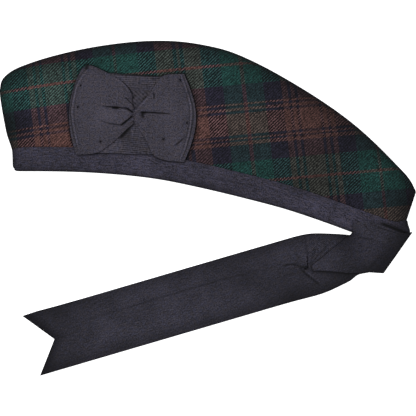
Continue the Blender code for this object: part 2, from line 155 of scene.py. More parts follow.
# Places are in squares of the chart, and widths, depths, heights and reaches in millimetres
# A fold's dark, a leaf's shadow and a contact's dark are painted shade, a negative dark is a painted
# highlight, and a tone's share is painted light, or painted shade below zero
Fold = namedtuple("Fold", "line wide tips dark deep rise reach", defaults=(0.0, 0.0, 1))
Leaf = namedtuple("Leaf", "outline rise start end shadow")
Tone = namedtuple("Tone", "place reach share deep", defaults=(0.0,))
Facet = namedtuple("Facet", "outline angle spread")
Nudge = namedtuple("Nudge", "place move reach")
Edge = namedtuple("Edge", "near near_reach far far_reach")
Contact = namedtuple("Contact", "above dark reach")
Stitch = namedtuple("Stitch", "place angle")
Dress = namedtuple("Dress", "node slot levels crease flat area held rests_on edge")
Ribbon = namedtuple("Ribbon", "material colour contrast streak rib")
Lamp = namedtuple("Lamp", "name place size power")

# Pieces that go together, the lamps, and the ribbons' looks by slot or, for one base, by node
PANELS = ("side_left", "side_right", "crown_gusset")
WINGS = ("cockade_wing_left", "cockade_wing_right")
TAILS = ("tail_upper", "tail_lower")
LAMPS = (Lamp("soft_top", (-0.35, 0.30, 1.6), 1.1, 16.0), Lamp("soft_fill", (0.6, -0.5, 1.8), 1.6, 5.0))
RIBBONS = {
    "band_ribbon": Ribbon("band_grosgrain", BAND_COLOUR, 3.3, 0.8, 0.20),
    "cockade_ribbon": Ribbon("cockade_grosgrain", COCKADE_COLOUR, 2.9, 0.3, 0.35),
    "cockade_back": Ribbon("cockade_ribbed_base", COCKADE_COLOUR, 2.6, 0.3, 0.34),
    "tail_ribbon": Ribbon("tail_grosgrain", TAIL_COLOUR, 3.1, 0.5, 0.30),
}


def at(right, down):
    """Place in plan of a point on the chart."""
    return ((right - CHART_MIDDLE[0]) * SQUARE, (CHART_MIDDLE[1] - down) * SQUARE)


def ease(share):
    """Smooth step from 0 to 1, for arrays."""
    share = np.clip(share, 0.0, 1.0)
    return share * share * (3.0 - 2.0 * share)


def points_of(obj):
    """Coordinates of an object's vertices."""
    points = np.empty(len(obj.data.vertices) * 3)
    obj.data.vertices.foreach_get("co", points)
    return points.reshape(-1, 3)


def move_points(obj, points):
    """Put an object's vertices at new coordinates."""
    obj.data.vertices.foreach_set("co", points.ravel())
    obj.data.update()


def normals_of(obj):
    """Directions of an object's vertex normals."""
    normals = np.empty(len(obj.data.vertices) * 3)
    obj.data.vertex_normals.foreach_get("vector", normals)
    return normals.reshape(-1, 3)


def select_only(objects):
    """Select some objects, with the first one active."""
    bpy.ops.object.select_all(action="DESELECT")
    for obj in objects:
        obj.select_set(True)
    bpy.context.view_layer.objects.active = objects[0]


def shade_smooth(obj):
    """Shade every face of a piece smooth."""
    obj.data.polygons.foreach_set("use_smooth", [True] * len(obj.data.polygons))


def smooth_form(obj, levels):
    """Round a piece's form by subdivision."""
    modifier = obj.modifiers.new("smooth", "SUBSURF")
    modifier.levels = modifier.render_levels = levels
    select_only([obj])
    bpy.ops.object.modifier_apply(modifier=modifier.name)
    shade_smooth(obj)


def cloth_copy(node, name, levels, crease):
    """Merged copy of a CAD node in quads, with its rims creased and its form smoothed."""
    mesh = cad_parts[node].data.copy()
    mesh.materials.clear()
    bm = bmesh.new()
    bm.from_mesh(mesh)
    bmesh.ops.remove_doubles(bm, verts=bm.verts, dist=MERGE)
    bmesh.ops.join_triangles(
        bm, faces=bm.faces, angle_face_threshold=JOIN_ANGLE, angle_shape_threshold=JOIN_SHAPE
    )
    bmesh.ops.recalc_face_normals(bm, faces=bm.faces)
    if bm.calc_volume(signed=True) < 0.0:
        bmesh.ops.reverse_faces(bm, faces=bm.faces)
    creases = bm.edges.layers.float.new("crease_edge")
    for edge in bm.edges:
        if edge.calc_face_angle(0.0) > CREASE_ANGLE:
            edge[creases] = crease
    bm.to_mesh(mesh)
    bm.free()
    obj = bpy.data.objects.new(name, mesh)
    bpy.context.scene.collection.objects.link(obj)
    smooth_form(obj, levels)
    return obj


def curve(line):
    """Smooth run in plan through a few places of the chart."""
    knots = [np.array(at(*place)) for place in line]
    ends = [2.0 * knots[0] - knots[1]], [2.0 * knots[-1] - knots[-2]]
    knots = ends[0] + knots + ends[1]
    result = []
    for a, b, c, d in zip(knots, knots[1:], knots[2:], knots[3:]):
        for k in range(CURVE_STEPS):
            t = k / CURVE_STEPS
            bend = (2.0 * a - 5.0 * b + 4.0 * c - d) * t * t + (3.0 * b - a - 3.0 * c + d) * t**3
            result.append(b + ((c - a) * t + bend) / 2.0)
    return np.array(result + [knots[-2]])


def near(plan, run):
    """Distance of points from a run in plan, their side of it, share along it and way from it."""
    lengths = np.linalg.norm(np.diff(run, axis=0), axis=1)
    starts = np.concatenate([[0.0], np.cumsum(lengths)])
    gap = np.full(len(plan), np.inf)
    side = np.zeros(len(plan))
    share = np.zeros(len(plan))
    offset = np.zeros((len(plan), 2))
    for k, length in enumerate(lengths):
        way = (run[k + 1] - run[k]) / length
        away = plan - run[k]
        along = np.clip(away @ way, 0.0, length)
        rest = away - along[:, None] * way
        distance = np.linalg.norm(rest, axis=1)
        closer = distance < gap
        gap = np.where(closer, distance, gap)
        side = np.where(closer, np.sign(way[0] * away[:, 1] - way[1] * away[:, 0]), side)
        share = np.where(closer, (starts[k] + along) / starts[-1], share)
        offset = np.where(closer[:, None], rest, offset)
    return gap, side, share, offset


def inside(plan, outline):
    """Which points are inside an outline of places."""
    corners = np.array([at(*place) for place in outline])
    result = np.zeros(len(plan), bool)
    for a, b in zip(corners, np.roll(corners, -1, axis=0)):
        crosses = (a[1] > plan[:, 1]) != (b[1] > plan[:, 1])
        level = b[1] - a[1] if b[1] != a[1] else 1.0
        result ^= crosses & (plan[:, 0] < a[0] + (b[0] - a[0]) * (plan[:, 1] - a[1]) / level)
    return result


def nudge(obj, nudges):
    """Ease parts of a piece sideways."""
    points = points_of(obj)
    for one in nudges:
        gap = np.linalg.norm(points[:, :2] - at(*one.place), axis=1)
        pull = np.exp(-((gap / (one.reach * MM)) ** 2))[:, None]
        points[:, :2] += pull * np.array((one.move[0], -one.move[1])) * SQUARE
    move_points(obj, points)


def round_corner(obj, corner, inwards, radius):
    """Round one square corner of a piece in plan, as a disc fits a square."""
    points = points_of(obj)
    centre = np.array(at(corner[0] + inwards[0] * radius, corner[1] + inwards[1] * radius))
    out = (points[:, :2] - centre) * np.array((-inwards[0], inwards[1])) / (radius * SQUARE)
    both = (out > 0.0).all(axis=1)
    pull = np.where(both, out.max(axis=1) / np.maximum(np.linalg.norm(out, axis=1), 1e-9), 1.0)
    points[:, :2] = centre + (points[:, :2] - centre) * pull[:, None]
    move_points(obj, points)


def press(obj, folds=(), leaves=(), tones=()):
    """Press creases, raised leaves and dimples into a laid piece, and give how light each point is."""
    points, normals = points_of(obj), normals_of(obj)
    plan = points[:, :2].copy()
    top = normals[:, 2] > -TOP_TILT
    light = np.ones(len(plan))
    for leaf in leaves:
        run = np.array([at(*place) for place in leaf.outline + leaf.outline[:1]])
        gap, _, _, offset = near(plan, run)
        start, end = np.array(at(*leaf.start)), np.array(at(*leaf.end))
        way = end - start
        fade = 1.0 - ease((plan - start) @ way / (way @ way))
        within = inside(plan, leaf.outline)
        points[:, 2] += leaf.rise * MM * within * ease(gap / LEAF_EDGE) * fade
        lee = (offset @ np.array(LEE)) / np.maximum(gap, 1e-9)
        shade = leaf.shadow * ~within * np.exp(-((gap / LEAF_SHADE) ** 2)) * fade
        light *= 1.0 - shade * (0.5 + 0.5 * lee)
    for fold in folds:
        gap, side, share, _ = near(plan, curve(fold.line))
        start = fold.tips[0] + (1.0 - fold.tips[0]) * ease(share / FOLD_FADE)
        end = fold.tips[1] + (1.0 - fold.tips[1]) * ease((1.0 - share) / FOLD_FADE)
        strength = start * end
        wide = fold.wide * MM * (FOLD_TIP + (1.0 - FOLD_TIP) * strength)
        dent = np.exp(-((gap / wide) ** 2)) * strength
        lift = np.exp(-gap / (fold.reach * MM)) * ease(0.5 + side * gap / FOLD_EDGE) * strength
        points[:, 2] += MM * (fold.rise * lift - fold.deep * dent)
        light *= 1.0 - fold.dark * dent
    for tone in tones:
        gap = np.linalg.norm(plan - at(*tone.place), axis=1)
        spot = np.exp(-((gap / (tone.reach * MM)) ** 2))
        points[:, 2] -= tone.deep * MM * spot
        light *= 1.0 + tone.share * spot
    move_points(obj, points)
    return np.where(top, np.maximum(light, 0.0), 1.0)


def rim_of(obj):
    """Places in plan of a piece's rims, and the ways out of them."""
    points, normals = points_of(obj), normals_of(obj)
    level = np.abs(normals[:, 2]) < RIM_TILT
    ways = normals[level, :2]
    return points[level, :2], ways / np.linalg.norm(ways, axis=1)[:, None]


def open_rim_of(obj, cover):
    """Places in plan of a piece's rims that have nothing of the cap beyond them."""
    places, ways = rim_of(obj)
    beyond = places + ways * BESIDE
    bare = [cover.ray_cast(Vector((x, y, 1.0)), DOWN)[0] is None for x, y in beyond]
    return places[np.array(bare, bool)]


def gaps(plan, places):
    """Distance in plan of points from the nearest of some places."""
    tree = KDTree(len(places))
    for k, (x, y) in enumerate(places):
        tree.insert((x, y, 0.0), k)
    tree.balance()
    return np.array([tree.find((x, y, 0.0))[2] for x, y in plan])


def refine(obj, places, reach):
    """Halve the faces on top of a piece near some places."""
    bm = bmesh.new()
    bm.from_mesh(obj.data)
    centres = np.array([face.calc_center_median() for face in bm.faces])
    close = gaps(centres[:, :2], places) < reach
    faces = [face for face, c in zip(bm.faces, close) if c and face.normal.z > TOP_TILT]
    edges = {edge for face in faces for edge in face.edges}
    bmesh.ops.subdivide_edges(bm, edges=list(edges), cuts=1, use_grid_fill=True)
    bm.to_mesh(obj.data)
    bm.free()
    shade_smooth(obj)


def edge_light(obj, edge, cover):
    """How light each point is, darker towards the rims that end the cap's outline."""
    places = open_rim_of(obj, cover)
    if not len(places):
        return 1.0
    gap = gaps(points_of(obj)[:, :2], places)
    close = 1.0 - edge.near * np.exp(-((gap / (edge.near_reach * MM)) ** 2))
    light = close * (1.0 - edge.far * np.exp(-((gap / (edge.far_reach * MM)) ** 2)))
    facing = SIDE_SHADE + (1.0 - SIDE_SHADE) * ease(np.abs(normals_of(obj)[:, 2]) / SIDE_TILT)
    return 1.0 - (1.0 - light) * facing


def contact_light(obj, contacts, rims):
    """How light each point on top is, darker where other pieces end on it."""
    light = np.ones(len(obj.data.vertices))
    top = normals_of(obj)[:, 2] > 0.0
    plan = points_of(obj)[:, :2]
    for contact in contacts:
        gap = gaps(plan, rims[contact.above] + np.array(SHADE_SHIFT))
        light *= 1.0 - contact.dark * top * np.exp(-((gap / (contact.reach * MM)) ** 2))
    return light


def keep_value(obj, name, values):
    """Store one number per vertex for the piece's material."""
    layer = obj.data.attributes.new(name, "FLOAT", "POINT")
    layer.data.foreach_set("value", values.astype(np.float32))


def keep_map(obj, across, down):
    """Store a flat place in metres per vertex, as the piece's UV map."""
    layer = obj.data.uv_layers.new(name="cloth")
    corner = np.empty(len(obj.data.loops), int)
    obj.data.loops.foreach_get("vertex_index", corner)
    layer.data.foreach_set("uv", np.column_stack([across, down])[corner].ravel())


def unrolled(obj):
    """Places in plan, moved out where the cloth rolls over an edge, by the length that it hides."""
    points, normals = points_of(obj), normals_of(obj)
    flat = np.hypot(normals[:, 0], normals[:, 1])
    tilt = np.arcsin(np.clip(flat, 0.0, 1.0))
    hidden = ROLL_RADIUS * (tilt - np.sin(tilt)) / np.maximum(flat, 1e-6)
    return points[:, :2] + normals[:, :2] * hidden[:, None]


def map_tartan(obj):
    """Lay the sett over a panel: warp slanting a little, weft bowed down towards the front."""
    plan = unrolled(obj) / SQUARE
    right = plan[:, 0] + CHART_MIDDLE[0]
    down = CHART_MIDDLE[1] - plan[:, 1]
    warp = right - WARP_SLANT * (down - SLANT_LEVEL)
    bow = WEFT_BOW * np.exp(-np.maximum(right, BOW_START) / BOW_REACH)
    level = WEFT_PLACE[1] - WEFT_SLANT * (right - WEFT_PLACE[0]) + bow
    keep_map(obj, (warp - WARP_START) * SQUARE, (down - level) * SQUARE)


def turned(plan, angle):
    """Coordinates along and across a direction in plan."""
    way = (math.cos(angle), math.sin(angle))
    return plan @ np.array(way), plan @ np.array((-way[1], way[0]))


def map_ribbon(obj, angle, facets=()):
    """Lay ribbon ribs across one direction in plan, and turned and spread in some facets."""
    plan = points_of(obj)[:, :2]
    across, down = turned(plan, angle)
    for facet in facets:
        within = inside(plan, facet.outline)
        side, fall = turned(plan, math.radians(facet.angle))
        across = np.where(within, side / facet.spread, across)
        down = np.where(within, fall / facet.spread, down)
    keep_map(obj, across, down)


def map_along(obj, line):
    """Lay ribbon ribs across a curved line in plan."""
    run = curve(line)
    gap, side, share, _ = near(points_of(obj)[:, :2], run)
    length = np.linalg.norm(np.diff(run, axis=0), axis=1).sum()
    keep_map(obj, share * length, gap * side)


# Materials


def link(tree, socket, value):
    """Feed a socket from another socket, or give it a plain value."""
    if isinstance(value, bpy.types.NodeSocket):
        tree.links.new(value, socket)
    else:
        socket.default_value = value


def maths(tree, operation, *values):
    """Output of a Math node."""
    node = tree.nodes.new("ShaderNodeMath")
    node.operation = operation
    for socket, value in zip(node.inputs, values):
        link(tree, socket, value)
    return node.outputs[0]


def blend(tree, share, first, second, mode="MIX"):
    """Output of a colour Mix node."""
    node = tree.nodes.new("ShaderNodeMix")
    node.data_type = "RGBA"
    node.blend_type = mode
    link(tree, node.inputs["Factor"], share)
    for label, colour in (("A", first), ("B", second)):
        plain = isinstance(colour, tuple)
        link(tree, node.inputs[label], (*colour, 1.0) if plain else colour)
    return node.outputs["Result"]


def noise(tree, vector, scale, detail=2.0):
    """Value of a Noise Texture node."""
    node = tree.nodes.new("ShaderNodeTexNoise")
    link(tree, node.inputs["Vector"], vector)
    node.inputs["Scale"].default_value = scale
    node.inputs["Detail"].default_value = detail
    return node.outputs["Fac"]


def split(tree, vector):
    """The X and Y of a vector."""
    node = tree.nodes.new("ShaderNodeSeparateXYZ")
    tree.links.new(vector, node.inputs[0])
    return node.outputs[0], node.outputs[1]


def new_group(name, inputs, outputs):
    """An empty node group with its sockets, and its input and output nodes."""
    group = bpy.data.node_groups.new(name, "ShaderNodeTree")
    for label, kind in inputs:
        group.interface.new_socket(label, in_out="INPUT", socket_type=kind)
    for label, kind in outputs:
        group.interface.new_socket(label, in_out="OUTPUT", socket_type=kind)
    return group, group.nodes.new("NodeGroupInput"), group.nodes.new("NodeGroupOutput")


def stripes_group(name, sett, yarns):
    """Colour of one yarn of the sett, by its count."""
    group, given, result = new_group(
        name, [("Threads", "NodeSocketFloat")], [("Colour", "NodeSocketColor")]
    )
    total = sum(threads for _, threads in sett)
    whole = maths(group, "FRACT", maths(group, "DIVIDE", given.outputs[0], float(total)))
    ramp = group.nodes.new("ShaderNodeValToRGB")
    ramp.color_ramp.interpolation = "CONSTANT"
    stops = ramp.color_ramp.elements
    count = 0
    for k, (yarn, threads) in enumerate(sett):
        stop = stops[k] if k < 2 else stops.new(count / total)
        stop.position = count / total
        stop.color = (*yarns[yarn], 1.0)
        count += threads
    group.links.new(whole, ramp.inputs[0])
    group.links.new(ramp.outputs[0], result.inputs[0])
    return group


def place_group(tree, group, **values):
    """Place a node group and feed its inputs."""
    node = tree.nodes.new("ShaderNodeGroup")
    node.node_tree = group
    for label, value in values.items():
        link(tree, node.inputs[label], value)
    return node.outputs


def scaled(tree, colour, factor):
    """A colour made lighter or darker."""
    node = tree.nodes.new("ShaderNodeVectorMath")
    node.operation = "SCALE"
    link(tree, node.inputs[0], colour)
    link(tree, node.inputs["Scale"], factor)
    return node.outputs[0]


def tartan_group():
    """Two-and-two twill of the sett: colour, height and roughness."""
    group, given, result = new_group(
        "tartan_twill",
        [("Vector", "NodeSocketVector")],
        [("Colour", "NodeSocketColor"), ("Height", "NodeSocketFloat"), ("Roughness", "NodeSocketFloat")],
    )
    cloth = given.outputs[0]
    across, down = split(group, cloth)
    warp = maths(group, "DIVIDE", across, WARP_PITCH)
    weft = maths(group, "DIVIDE", down, WEFT_PITCH)
    warp_stripes = stripes_group("warp_stripes", WARP_SETT, WARP_YARNS)
    weft_stripes = stripes_group("weft_stripes", WEFT_SETT, WEFT_YARNS)
    warp_colour = place_group(group, warp_stripes, Threads=warp)[0]
    weft_colour = place_group(group, weft_stripes, Threads=weft)[0]
    wander = maths(group, "MULTIPLY", noise(group, cloth, WANDER_SCALE), TWILL_WANDER)
    steps = maths(group, "ADD", maths(group, "DIVIDE", across, TWILL_ACROSS), wander)
    steps = maths(group, "ADD", steps, maths(group, "DIVIDE", down, TWILL_DOWN))
    ridge = maths(group, "SINE", maths(group, "MULTIPLY", steps, 2.0 * math.pi))
    weft_red, weft_green = split(group, weft_colour)
    warp_red, warp_green = split(group, warp_colour)
    is_green = maths(group, "GREATER_THAN", weft_green, weft_red)
    cover = maths(group, "MULTIPLY_ADD", across, *GREEN_COVER)
    cover = maths(group, "MINIMUM", maths(group, "MAXIMUM", cover, 0.0), GREEN_COVER_MOST)
    weft_share = maths(group, "MULTIPLY_ADD", ridge, TWILL_BLEND, WEFT_SHARE)
    weft_share = maths(group, "MULTIPLY_ADD", is_green, cover, weft_share)
    colour = blend(group, weft_share, warp_colour, weft_colour)
    redder = maths(group, "ABSOLUTE", maths(group, "SUBTRACT", weft_red, warp_red))
    greener = maths(group, "MAXIMUM", maths(group, "SUBTRACT", weft_green, warp_green), 0.0)
    contrast = maths(group, "MULTIPLY_ADD", redder, TWILL_RED, TWILL_CONTRAST)
    contrast = maths(group, "MULTIPLY_ADD", greener, TWILL_GREEN, contrast)
    # The twill's ridges are painted lighter and its valleys darker: partly the yarns' own colour contrast,
    # partly painted shade and highlight of their relief
    bright = maths(group, "MULTIPLY_ADD", ridge, contrast, 1.0)
    bright = maths(group, "MAXIMUM", bright, TARTAN_DARKEST)
    crossing = group.nodes.new("ShaderNodeCombineXYZ")
    group.links.new(maths(group, "FLOOR", warp), crossing.inputs[0])
    group.links.new(maths(group, "FLOOR", weft), crossing.inputs[1])
    uneven = group.nodes.new("ShaderNodeTexWhiteNoise")
    uneven.noise_dimensions = "2D"
    group.links.new(crossing.outputs[0], uneven.inputs["Vector"])
    fleck = maths(group, "MULTIPLY_ADD", uneven.outputs["Value"], 2.0 * YARN_SPREAD, 1.0 - YARN_SPREAD)
    haze = maths(group, "MULTIPLY_ADD", noise(group, cloth, HAZE_SCALE), HAZE, 1.0 - HAZE / 2.0)
    bright = maths(group, "MULTIPLY", maths(group, "MULTIPLY", bright, fleck), haze)
    group.links.new(scaled(group, colour, bright), result.inputs["Colour"])
    group.links.new(ridge, result.inputs["Height"])
    group.links.new(maths(group, "MULTIPLY_ADD", ridge, *TARTAN_ROUGH), result.inputs["Roughness"])
    return group


def grosgrain_group():
    """Ribbed ribbon with a worn, mottled face: colour, height and roughness."""
    group, given, result = new_group(
        "grosgrain",
        [("Vector", "NodeSocketVector"), ("Base", "NodeSocketColor"), ("Contrast", "NodeSocketFloat"),
         ("Streak", "NodeSocketFloat"), ("Rib", "NodeSocketFloat")],
        [("Colour", "NodeSocketColor"), ("Height", "NodeSocketFloat"), ("Roughness", "NodeSocketFloat")],
    )
    cloth, base, contrast, streaky, ribbed = given.outputs[:5]
    across, down = split(group, cloth)
    rib = maths(group, "SINE", maths(group, "MULTIPLY", across, 2.0 * math.pi / RIB_PITCH))
    drawn = group.nodes.new("ShaderNodeCombineXYZ")
    group.links.new(across, drawn.inputs[0])
    group.links.new(maths(group, "MULTIPLY", down, STREAK_LENGTH), drawn.inputs[1])
    fine = maths(group, "SUBTRACT", noise(group, cloth, FINE_SCALE, 1.0), 0.5)
    streak = maths(group, "SUBTRACT", noise(group, drawn.outputs[0], STREAK_SCALE, 3.0), 0.5)
    wide = maths(group, "SUBTRACT", noise(group, cloth, MOTTLE_SCALE, 3.0), 0.5)
    streak = maths(group, "MULTIPLY", streak, streaky)
    mottle = maths(group, "MULTIPLY_ADD", wide, MOTTLE_SHARE, maths(group, "ADD", fine, streak))
    # The ribs are painted lighter on their crowns and darker between them, as painted shade of their relief
    bright = maths(group, "MULTIPLY_ADD", rib, ribbed, 1.0)
    bright = maths(group, "ADD", bright, maths(group, "MULTIPLY", mottle, contrast))
    bright = maths(group, "MAXIMUM", bright, RIBBON_DARKEST)
    tint = maths(group, "MULTIPLY_ADD", noise(group, cloth, TINT_SCALE), *TINT_SPREAD)
    tinted = blend(group, tint, WARM_TINT, COOL_TINT)
    colour = blend(group, 1.0, base, tinted, "MULTIPLY")
    group.links.new(scaled(group, colour, bright), result.inputs["Colour"])
    group.links.new(rib, result.inputs["Height"])
    group.links.new(maths(group, "MULTIPLY_ADD", mottle, *RIBBON_ROUGH), result.inputs["Roughness"])
    return group


def light_group():
    """Darkens a colour by painted shade in creases, at edges and where pieces overlap, and lightens it by
    painted highlights.
    """
    group, given, result = new_group(
        "painted_light_and_shade",
        [("Colour", "NodeSocketColor"), ("Light", "NodeSocketFloat")],
        [("Colour", "NodeSocketColor")],
    )
    group.links.new(scaled(group, given.outputs[0], given.outputs[1]), result.inputs[0])
    return group


def new_material(name, specular):
    """A material with its node tree and its shader."""
    material = bpy.data.materials.new(name)
    material.use_nodes = True
    shader = material.node_tree.nodes["Principled BSDF"]
    shader.inputs["Specular IOR Level"].default_value = specular
    return material, material.node_tree, shader


def cloth_material(name, light, relief, weave_group, **looks):
    """A woven finish over the piece's own cloth map, darker where its light is low."""
    material, tree, shader = new_material(name, CLOTH_SPECULAR)
    cloth = tree.nodes.new("ShaderNodeUVMap")
    cloth.uv_map = "cloth"
    weave = place_group(tree, weave_group, Vector=cloth.outputs[0], **looks)
    kept = tree.nodes.new("ShaderNodeAttribute")
    kept.attribute_name = "light"
    colour = place_group(tree, light, Colour=weave["Colour"], Light=kept.outputs["Fac"])[0]
    tree.links.new(colour, shader.inputs["Base Color"])
    tree.links.new(weave["Roughness"], shader.inputs["Roughness"])
    bump = tree.nodes.new("ShaderNodeBump")
    bump.inputs["Strength"].default_value, bump.inputs["Distance"].default_value = relief
    tree.links.new(weave["Height"], bump.inputs["Height"])
    tree.links.new(bump.outputs[0], shader.inputs["Normal"])
    return material


def cloth_materials():
    """Woollen tartan, and the matt grosgrain ribbons by their slot or node."""
    light, grosgrain = light_group(), grosgrain_group()
    tartan = cloth_material("woollen_tartan", light, TARTAN_RELIEF, tartan_group())
    ribbons = {}
    for key, ribbon in RIBBONS.items():
        ribbons[key] = cloth_material(
            ribbon.material, light, RIBBON_RELIEF, grosgrain, Base=(*ribbon.colour, 1.0),
            Contrast=ribbon.contrast, Streak=ribbon.streak, Rib=ribbon.rib,
        )
    return tartan, ribbons


def thread_material():
    """Dark twisted sewing thread."""
    material, tree, shader = new_material("sewing_thread", THREAD_SPECULAR)
    place = tree.nodes.new("ShaderNodeTexCoord")
    twist = noise(tree, place.outputs["Object"], THREAD_SCALE)
    bright = maths(tree, "MULTIPLY_ADD", twist, *THREAD_SPREAD)
    tree.links.new(scaled(tree, THREAD_COLOUR, bright), shader.inputs["Base Color"])
    shader.inputs["Roughness"].default_value = 0.9
    return material


# Cockade: creases, leaves, dimples and ribs of its base and of its two wings, with painted shade in the
# creases, dimples and under the leaves' edges, painted highlights along some edges and hems, and broad
# patches of painted light and shade
BASE_FOLDS = (
    Fold([(109.5, 74.6), (125, 75.8), (145, 77.0), (159.5, 78.0)], 0.55, (0.6, 0.7), 0.90, 0.4),
    Fold([(149, 79.6), (158, 79.9), (163.5, 78.3)], 0.35, (0.0, 0.3), 0.70, 0.2),
    Fold([(119, 80.4), (124, 83.6), (129, 88.4), (132.4, 93.4), (134.6, 99)], 0.50, (0.2, 0.9), 0.85, 0.3),
    Fold([(134, 125.6), (129.5, 129.6), (124, 135.5), (118.5, 142)], 1.30, (0.6, 0.0), 1.00, 0.5),
    Fold([(132.4, 127), (132.8, 133), (133.6, 139.5)], 0.36, (0.3, 0.0), -0.80, 0.0, 0.1),
    Fold([(91, 153.4), (110, 154.0), (130, 155.2), (152, 156.8)], 0.42, (0.3, 0.3), 0.80, 0.2),
    Fold([(106, 151.6), (130, 152.7), (150, 154.3)], 0.34, (0.0, 0.0), 0.50, 0.1),
    Fold([(112, 149.6), (132, 150.4), (150, 151.6)], 0.30, (0.0, 0.0), 0.30, 0.1),
    Fold([(120, 146.0), (134, 146.2), (147, 147.4)], 0.30, (0.0, 0.0), 0.25, 0.1),
)
BASE_FACETS = (
    Facet([(80, 60), (190, 60), (190, 91), (80, 91)], 88, 1.6),
    Facet([(80, 91), (190, 91), (190, 112), (80, 112)], 48, 2.4),
    Facet([(80, 112), (190, 112), (190, 170), (80, 170)], 84, 1.6),
)
BASE_TONES = (
    Tone((143, 93), 7.0, -0.25),
    Tone((128, 138), 7.0, -0.42),
    Tone((145, 146), 8.0, -0.15),
)
LEFT_FOLDS = (
    Fold([(101, 106.9), (110, 107.6), (119, 108.4), (127.4, 109)], 0.42, (0.0, 0.7), 0.90, 0.7, 0.3, 2),
    Fold([(111.5, 108), (116, 108.8), (120.8, 108.9)], 0.95, (0.0, 0.0), 1.00, 1.0),
    Fold([(126.5, 108.6), (130.5, 111.3), (135, 114.2)], 0.60, (0.7, 0.8), 1.00, 0.8),
    Fold([(135.2, 114.5), (131.6, 118), (128, 121.2), (122.0, 125.9)], 0.62, (0.8, 0.6), 1.00, 0.6),
    Fold([(127.5, 121.8), (125, 123.8), (122.0, 125.8)], 0.70, (0.2, 0.4), 0.80, 0.2),
    Fold([(119, 80), (126, 84.3), (131, 90), (134, 97.5), (134.5, 107)], 0.62, (0.0, 1.0), 0.90, 0.3),
    Fold([(112, 76.8), (120, 82), (126.5, 88), (130.6, 94), (133, 100)], 0.45, (0.3, 0.2), -0.30, 0.0, 0.2),
    Fold([(124.6, 96.8), (129.5, 102), (134, 106.3)], 0.46, (0.0, 0.7), 0.85, 0.4, 0.4),
    Fold([(97, 119), (107, 123.2), (116, 125), (122.5, 125.7)], 0.52, (0.0, 0.4), 0.50, 0.3, 0.2, 2),
    Fold([(96, 113), (110, 116), (124, 117)], 1.6, (0.0, 0.0), -0.12),
    Fold([(134.2, 124.2), (127, 130.6), (117, 141.6)], 0.60, (0.6, 0.0), -0.25),
    Fold([(88.8, 70.5), (78.4, 86), (73.9, 107), (73.4, 115), (75.7, 131.5), (80.7, 152)],
         0.40, (0.7, 0.7), -0.75, 0.0, 0.2),
    Fold([(90.0, 72), (80.0, 87), (75.6, 107), (75.2, 115), (77.4, 131.5), (82.4, 152)],
         0.34, (0.5, 0.5), 0.38, 0.2),
    Fold([(87.4, 69.1), (76.8, 85.0), (72.1, 107), (71.6, 115), (73.9, 131.5), (78.9, 152)],
         0.42, (0.7, 0.7), 0.65, 0.2),
)
LEFT_LEAVES = (
    Leaf([(103, 107.6), (118, 108.8), (127.5, 109.6), (135, 114.4), (128.2, 121), (122.3, 125.4),
          (112, 124.6), (101, 121.5)], 1.0, (124, 117), (101, 114), 0.75),
)
LEFT_TONES = (
    Tone((87.6, 67.2), 1.5, -0.75, 0.3),
    Tone((79.0, 107.8), 0.95, -0.90, 0.5),
    Tone((81.8, 86.6), 0.80, -0.50, 0.2),
    Tone((101.6, 142.4), 1.35, -0.60, 0.4),
    Tone((90, 99), 10.0, 0.08),
    Tone((108, 116), 8.0, 0.08),
    Tone((100, 130), 9.0, -0.10),
    Tone((87.5, 69.0), 1.7, -0.80, 0.2),
    Tone((124, 114), 9.0, 0.20),
    Tone((104, 120), 9.0, 0.08),
    Tone((120, 98), 9.0, 0.12),
)
RIGHT_FOLDS = (
    Fold([(143.5, 113.1), (155, 113.6), (165, 114.3), (176, 115.4)], 0.46, (0.9, 0.0), 0.95, 0.7, 0.5, 3),
    Fold([(141.0, 113.5), (143.5, 113.6), (147, 114)], 0.60, (0.3, 0.6), 1.00, 0.6),
    Fold([(153.8, 92.8), (154.6, 96.5), (154.4, 101.5)], 0.50, (0.4, 0.0), 0.95, 0.5, 0.4),
    Fold([(186, 137.2), (180.5, 142), (173.5, 148)], 0.62, (0.5, 0.0), 0.80, 0.6, 0.4, 2),
    Fold([(135.4, 111.7), (139.5, 112.1), (143.6, 112.6)], 0.38, (0.5, 0.3), -0.70, 0.0, 0.2),
    Fold([(138.4, 109.6), (144.6, 103), (152.4, 95.6)], 0.55, (0.4, 0.2), -0.75, 0.0, 0.3),
    Fold([(135.5, 124.8), (142, 128.6), (150, 136.5)], 0.40, (0.5, 0.0), 0.28, 0.0, 0.1),
    Fold([(186.5, 118), (183, 126), (180, 132)], 0.60, (0.0, 0.0), 0.22, 0.0, 0.1),
    Fold([(181.8, 77.6), (186.8, 92.0), (190.6, 106), (191.5, 117), (189.5, 132), (185.2, 148),
          (180.6, 160)], 0.40, (0.7, 0.7), -0.80, 0.0, 0.2),
    Fold([(180.4, 78.2), (185.4, 92.6), (189.1, 106), (189.9, 117), (188, 132), (183.7, 148),
          (179, 160)], 0.40, (0.7, 0.7), 0.50, 0.2),
    Fold([(183.3, 77.2), (188.3, 91.8), (192.3, 106), (193.2, 117), (191.2, 132), (186.9, 148),
          (182.3, 160)], 0.50, (0.7, 0.7), 0.75, 0.2),
)
RIGHT_LEAVES = (
    Leaf([(135.5, 110), (143, 102), (151, 94.2), (160, 95), (170, 103), (173, 114.6), (155, 113.2),
          (144, 112.8)], 0.5, (148, 106), (168, 104), 0.45),
    Leaf([(135.4, 113.2), (141.4, 114), (141, 118.5), (134.8, 124.6), (130.4, 121.6), (132, 117)],
         0.5, (138, 114), (132, 127), 0.30),
)
